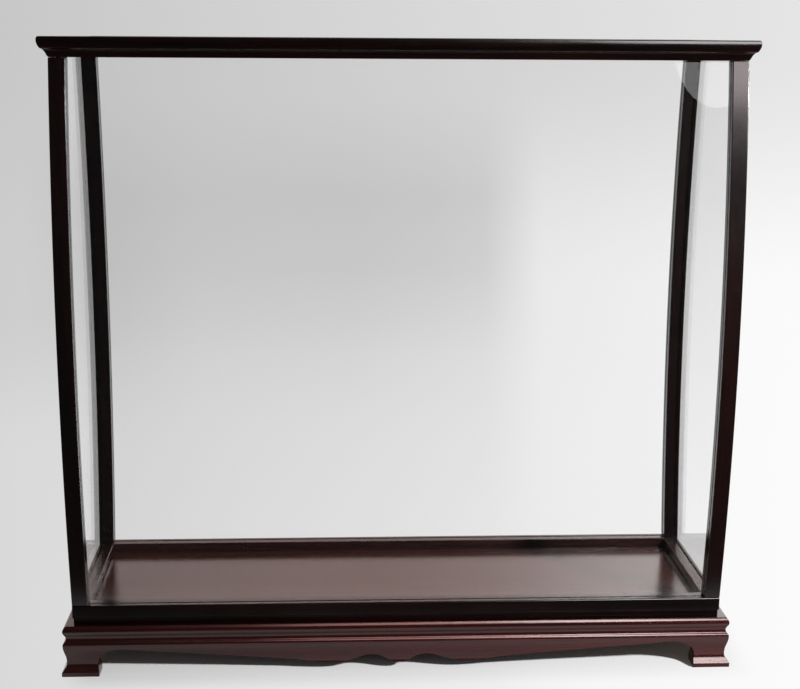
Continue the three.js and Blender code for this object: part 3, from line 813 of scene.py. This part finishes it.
def floor_paper():
    """Paper that takes the case's shadow near it and has the backdrop's tone farther away. In
    polished faces it is dark in front, as the room is."""
    material, tree, out = blank("floor_paper")
    place = node(tree, "NewGeometry").outputs["Position"]
    direction = vector_of(tree, "NORMALIZE", vector_of(tree, "SUBTRACT", place, VIEWPOINT))
    backdrop = backdrop_colour(tree, direction)
    spread = vector_of(tree, "ABSOLUTE", vector_of(tree, "SUBTRACT", place, FOOTPRINT_CENTRE))
    outside = vector_of(tree, "MAXIMUM", vector_of(tree, "SUBTRACT", spread, FOOTPRINT))
    away = node(tree, "VectorMath", {0: outside}, operation="LENGTH").outputs["Value"]
    tooth = noise(tree, place, scale=900, detail=2)
    # The paper's own colour carries the backdrop's painted light, brighter to the right and below, and
    # its painted shade, under the real key's light and shadow
    tone = mixed(tree, 1.0, backdrop, ramp(tree, tooth, *PAPER), "MULTIPLY")
    paper = node(tree, "BsdfDiffuse", {"Color": tone, "Roughness": 0.5})
    # Farther out the floor glows with the same painted tones for the camera and for gloss, in place of
    # lit paper
    beyond = node(tree, "Emission", {"Color": backdrop, "Strength": 1.0})
    path = node(tree, "LightPath").outputs
    seen = math_of(tree, "ADD", path["Is Camera Ray"], path["Is Glossy Ray"], clamp=True)
    far = math_of(tree, "MULTIPLY", remapped(tree, away, NEAR, FAR, smooth=True), seen)
    shown = node(tree, "MixShader", {0: far, 1: paper.outputs[0], 2: beyond.outputs[0]})
    front = math_of(tree, "MULTIPLY", node(tree, "SeparateXYZ", {0: place}).outputs[1], -1.0)
    gone = remapped(tree, front, DARK_FROM, DARK_TO, smooth=True)
    hidden = math_of(tree, "MULTIPLY", gone, path["Is Glossy Ray"])
    room = node(tree, "Emission", {"Color": ROOM, "Strength": 1.0})
    surface(tree, out, node(tree, "MixShader", {0: hidden, 1: shown.outputs[0], 2: room.outputs[0]}))
    return material


def build_floor():
    reach = FLOOR_REACH
    floor = slab("floor", Vector((-reach, -reach, -FLOOR_DEPTH)), Vector((reach, reach, 0)))
    floor.data.materials.append(floor_paper())


def build_world():
    """The backdrop as the camera sees it, with a brighter wall above it and a dark room in front
    of it as polished faces see it, and an even soft light on the rest."""
    world = bpy.data.worlds.new("studio")
    world.use_nodes = True
    tree = world.node_tree
    tree.nodes.clear()
    out = node(tree, "OutputWorld")
    direction = node(tree, "TexCoord").outputs["Generated"]
    sideways, backwards, up = node(tree, "SeparateXYZ", {0: direction}).outputs
    backdrop = backdrop_colour(tree, direction)
    wall = ramp(tree, remapped(tree, sideways, *GLOW_X), *WALL_ROW)
    rear = mixed(tree, remapped(tree, up, WALL_FROM, WALL_WHOLE, smooth=True), backdrop, wall)
    mirrored = mixed(tree, remapped(tree, backwards, ROOM_FROM, ROOM_TO, smooth=True), ROOM, rear)
    path = node(tree, "LightPath").outputs
    soft = mixed(tree, path["Is Glossy Ray"], AMBIENT, mirrored)
    # The camera sees the backdrop's tones, with their painted light and painted shade
    shown = mixed(tree, path["Is Camera Ray"], soft, backdrop)
    surface(tree, out, node(tree, "Background", {"Color": shown, "Strength": 1.0}))
    bpy.context.scene.world = world


# Lights: a key, the same key farther away for the floor, so that it falls off less there, a fill
# for the aprons, and softboxes that only the gloss of some pieces shows

KEY_AT, KEY_AIM, KEY_SIZE, KEY_WATTS = Vector((1.28, -1.12, 1.06)), Vector((0.1, 0, 0.1)), 0.12, 52
FARTHER = 3  # how many times as far away and as large the floor's key is
FAR_KEY_WATTS = 390
FILL_AT, FILL_AIM, FILL_SIZE, FILL_WATTS = (0.62, -0.95, 0.12), (0.1, 0, 0.05), 0.3, 9
WHITE = (1, 1, 1)
SOFTBOX_AIM_X = 0.3
SOFTBOXES = [  # name, x, y, its foot and top, width, radiance, what mirrors it, colour
    ("softbox_low", 0.8, -1.45, 1.1, 4.2, 0.6, 20, "apron", (1, 0.84, 0.82)),
    ("softbox_warm", 0.15, -1.5, 1.1, 4.2, 0.7, 6, "apron", (1, 0.52, 0.48)),
    ("softbox_rail", 0.8, -1.45, 0.5, 2.1, 0.6, 15, "rail", WHITE),
    ("softbox_high", 0.85, -1.45, 0.92, 2.6, 0.6, 27, "crown", WHITE),
    ("softbox_side", 0.85, -1.45, 1.07, 2.6, 0.6, 7.5, "post_front", (1, 0.88, 0.9)),
]
WINDOW = ("window", 1.055, -2.44, 1.26, 1.86, 0.23, 4.4, "pane_front", WHITE)


def area_light(name, place, target, width, height, power, shape="DISK", colour=WHITE):
    lamp = bpy.data.lights.new(name, "AREA")
    lamp.color = colour
    lamp.shape = shape
    lamp.size = width
    lamp.size_y = height
    lamp.energy = power
    made = bpy.data.objects.new(name, lamp)
    made.location = place
    made.rotation_euler = (Vector(target) - Vector(place)).to_track_quat("-Z", "Y").to_euler()
    made.visible_camera = False
    bpy.context.scene.collection.objects.link(made)
    return made


def falls_on(lamp, *starts):
    """Keeps a lamp's light for the pieces whose names start so."""
    group = bpy.data.collections.new(lamp.name + "_receivers")
    for piece in list(bpy.data.objects):
        if piece.name.startswith(starts):
            group.objects.link(piece)
    lamp.light_linking.receiver_collection = group


def softbox(name, x, y, z0, z1, width, radiance, start, colour, shape="RECTANGLE"):
    """An upright light that shows only in the gloss of the pieces whose names start so."""
    height, z = z1 - z0, (z0 + z1) / 2
    area = width * height * (math.pi / 4 if shape == "ELLIPSE" else 1)
    power = radiance * math.pi * area
    lamp = area_light(name, (x, y, z), (SOFTBOX_AIM_X, 0, z), width, height, power, shape, colour)
    falls_on(lamp, start)
    lamp.visible_diffuse = False


def build_lights():
    key = area_light("key", KEY_AT, KEY_AIM, KEY_SIZE, KEY_SIZE, KEY_WATTS)
    falls_on(key, "post", "rail", "crown", "plinth", "deck", "foot", "cover", "lid")
    far, far_size = KEY_AIM + (KEY_AT - KEY_AIM) * FARTHER, KEY_SIZE * FARTHER
    falls_on(area_light("far_key", far, KEY_AIM, far_size, far_size, FAR_KEY_WATTS), "floor")
    fill = area_light("fill", FILL_AT, FILL_AIM, FILL_SIZE, FILL_SIZE, FILL_WATTS)
    falls_on(fill, "apron")
    fill.visible_glossy = False
    for row in SOFTBOXES:
        softbox(*row)
    softbox(*WINDOW, shape="ELLIPSE")


# Camera: fitted to the photograph's edges

IMAGE_WIDTH, FOCAL_PIXELS = 800, 1440.2
SENSOR_WIDTH = 36
TILT, YAW, ROLL = 0.2114, -0.0509, 0.0064
CLIP_END = 200


def build_camera():
    data = bpy.data.cameras.new("camera")
    data.sensor_width = SENSOR_WIDTH
    data.lens = FOCAL_PIXELS * SENSOR_WIDTH / IMAGE_WIDTH
    data.clip_end = CLIP_END
    camera = bpy.data.objects.new("camera", data)
    level = Matrix.Rotation(math.pi / 2 - TILT, 4, "X")
    turn = Matrix.Rotation(YAW, 4, "Z") @ level @ Matrix.Rotation(ROLL, 4, "Z")
    camera.matrix_world = Matrix.Translation(Vector(VIEWPOINT)) @ turn
    bpy.context.scene.collection.objects.link(camera)
    bpy.context.scene.camera = camera


build_camera()
build_base()
for corner in CORNERS:
    build_post(*corner)
build_rails()
build_panes()
build_crown()
dress_hidden_pieces()
build_floor()
build_world()
build_lights()
bpy.context.scene.view_settings.view_transform = "Standard"
